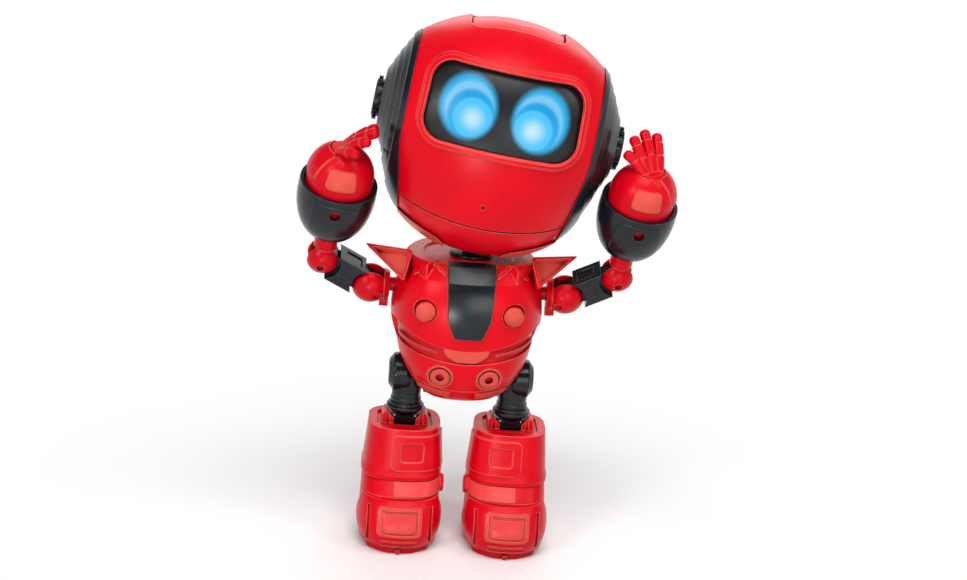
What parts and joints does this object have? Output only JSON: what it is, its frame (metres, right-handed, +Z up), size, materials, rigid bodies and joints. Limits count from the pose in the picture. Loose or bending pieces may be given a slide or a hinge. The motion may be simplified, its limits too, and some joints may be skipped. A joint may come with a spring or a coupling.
{
  "type": "toy robot",
  "caption": "Small standing toy robot with a visor head on a swivel neck, jointed arms with open forearm cups, and two pinned boots.",
  "frame": {"origin": "on the ground under the middle of the whole outline, between the boots", "axes": "+Z up, the robot faces -Y, its left side is +X"},
  "size_m": [0.084, 0.0464, 0.1212],
  "materials": {
    "red_shell": "metallic red moulded, satin",
    "arm_red": "metallic red moulded, satin",
    "boot_red": "metallic red moulded, satin",
    "boot_dark": "metallic red moulded, satin",
    "sole_red": "metallic red moulded, satin",
    "red_trim": "metallic red moulded, satin",
    "black_shell": "satin black moulded",
    "arm_black": "satin black moulded",
    "leg_black": "satin black moulded",
    "smoked_lens": "glossy smoked",
    "eye_light": "translucent blue diffuser",
    "circuit_board": "green circuit board",
    "steel_pin": "plated",
    "electret_can": "plain",
    "speaker_can": "plain"
  },
  "bodies": {
    "torso": {"chest_shell": "red_shell", "torso_rear_shell": "red_shell", "waist_band": "red_trim", "belly_shell": "red_shell", "pelvis_pan": "red_shell", "chest_panel": "black_shell", "chest_buttons": "red_trim", "belly_rings": "red_trim", "left_wing": "red_shell", "right_wing": "red_shell", "battery_door": "red_shell", "torso_screws": "steel_pin", "speaker": "speaker_can", "main_board": "circuit_board", "button_cells": "steel_pin", "battery_contacts": "steel_pin"},
    "power_switch": {"power_switch": "black_shell"},
    "neck": {"neck_post": "leg_black"},
    "head": {"head_front_shell": "red_shell", "head_rear_shell": "red_shell", "chin_shell": "red_shell", "touch_spring": "steel_pin", "visor_lens": "smoked_lens", "eye_diffusers": "eye_light", "eye_board": "circuit_board", "microphone": "electret_can", "head_screws": "steel_pin", "left_ear_pod": "black_shell", "right_ear_pod": "black_shell", "neck_bracket": "black_shell", "neck_pin": "steel_pin"},
    "touch_panel": {"touch_panel": "red_shell"},
    "left_shoulder": {"left_shoulder_ball": "arm_red"},
    "left_upper_arm": {"left_upper_link": "arm_black"},
    "left_forearm": {"left_elbow_ball": "arm_red", "left_forearm_cup": "arm_black"},
    "left_hand": {"left_hand_shell": "arm_red", "left_fingers": "arm_red"},
    "left_hip": {"left_hip_knuckle": "leg_black"},
    "left_shin": {"left_leg_post": "leg_black"},
    "left_boot": {"left_ankle_pin": "steel_pin", "left_boot_upper": "boot_red", "left_boot_foot": "boot_dark", "left_toe_cap": "boot_red", "left_boot_sole": "sole_red"},
    "right_shoulder": {"right_shoulder_ball": "arm_red"},
    "right_upper_arm": {"right_upper_link": "arm_black"},
    "right_forearm": {"right_elbow_ball": "arm_red", "right_forearm_cup": "arm_black"},
    "right_hand": {"right_hand_shell": "arm_red", "right_fingers": "arm_red"},
    "right_hip": {"right_hip_knuckle": "leg_black"},
    "right_shin": {"right_leg_post": "leg_black"},
    "right_boot": {"right_ankle_pin": "steel_pin", "right_boot_upper": "boot_red", "right_boot_foot": "boot_dark", "right_toe_cap": "boot_red", "right_boot_sole": "sole_red"}
  },
  "joints": [
    {"name": "head_turn", "type": "hinge", "parent": "torso", "child": "neck", "pos_m": [-0.0023, 0.0006, 0.0671], "axis": [0, 0, 1], "range_deg": [-40, 40]},
    {"name": "head_tilt", "type": "hinge", "parent": "neck", "child": "head", "pos_m": [-0.0023, 0.0006, 0.0708], "axis": [0.0593, 0.9982, 0], "range_deg": [-3, 0.5]},
    {"name": "touch_press", "type": "slide", "parent": "head", "child": "touch_panel", "axis": [-0.132, 0.0078, -0.9912], "range_m": [0, 0.0005], "stiffness_N_per_m": 150, "springref_m": -0.0006, "deforming": ["touch_spring"]},
    {"name": "power_slide", "type": "slide", "parent": "torso", "child": "power_switch", "axis": [1, 0, 0], "range_m": [0, 0.0026]},
    {"name": "left_shoulder_swing", "type": "hinge", "parent": "torso", "child": "left_shoulder", "pos_m": [0.0198, 0.0006, 0.059], "axis": [1, 0, 0], "range_deg": [-2, 120]},
    {"name": "left_arm_raise", "type": "hinge", "parent": "left_shoulder", "child": "left_upper_arm", "pos_m": [0.0198, 0.0006, 0.059], "axis": [0, -0.9483, -0.3173], "range_deg": [-60, 1]},
    {"name": "left_elbow_bend", "type": "hinge", "parent": "left_upper_arm", "child": "left_forearm", "pos_m": [0.03088, -0.00143, 0.06507], "axis": [0, 0.9483, 0.3173], "range_deg": [-1.5, 92]},
    {"name": "left_hand_turn", "type": "hinge", "parent": "left_forearm", "child": "left_hand", "pos_m": [0.03088, -0.00143, 0.06507], "axis": [0.1288, -0.3147, 0.9404], "range_deg": [-30, 60]},
    {"name": "left_hip_swing", "type": "hinge", "parent": "torso", "child": "left_hip", "pos_m": [0.0118, 0.0006, 0.0383], "axis": [-1, 0, 0], "range_deg": [-35, 35]},
    {"name": "left_leg_twist", "type": "hinge", "parent": "left_hip", "child": "left_shin", "pos_m": [0.0099, 0.0006, 0.033], "axis": [0, 0, 1], "range_deg": [-5, 20]},
    {"name": "left_ankle_pitch", "type": "hinge", "parent": "left_shin", "child": "left_boot", "pos_m": [0.0099, 0.0006, 0.0276], "axis": [-1, 0, 0], "range_deg": [-14, 14]},
    {"name": "right_shoulder_swing", "type": "hinge", "parent": "torso", "child": "right_shoulder", "pos_m": [-0.0244, 0.0006, 0.059], "axis": [1, 0, 0], "range_deg": [-2, 120]},
    {"name": "right_arm_raise", "type": "hinge", "parent": "right_shoulder", "child": "right_upper_arm", "pos_m": [-0.0244, 0.0006, 0.059], "axis": [0, 0.9483, 0.3173], "range_deg": [-60, 1]},
    {"name": "right_elbow_bend", "type": "hinge", "parent": "right_upper_arm", "child": "right_forearm", "pos_m": [-0.03543, -0.00146, 0.06516], "axis": [0, -0.9483, -0.3173], "range_deg": [-1.5, 92]},
    {"name": "right_hand_turn", "type": "hinge", "parent": "right_forearm", "child": "right_hand", "pos_m": [-0.03543, -0.00146, 0.06516], "axis": [0.1253, -0.3148, 0.9408], "range_deg": [-60, 8]},
    {"name": "right_hip_swing", "type": "hinge", "parent": "torso", "child": "right_hip", "pos_m": [-0.0164, 0.0006, 0.0383], "axis": [-1, 0, 0], "range_deg": [-35, 35]},
    {"name": "right_leg_twist", "type": "hinge", "parent": "right_hip", "child": "right_shin", "pos_m": [-0.0145, 0.0006, 0.033], "axis": [0, 0, -1], "range_deg": [-5, 20]},
    {"name": "right_ankle_pitch", "type": "hinge", "parent": "right_shin", "child": "right_boot", "pos_m": [-0.0145, 0.0006, 0.0276], "axis": [-1, 0, 0], "range_deg": [-14, 14]}
  ]
}
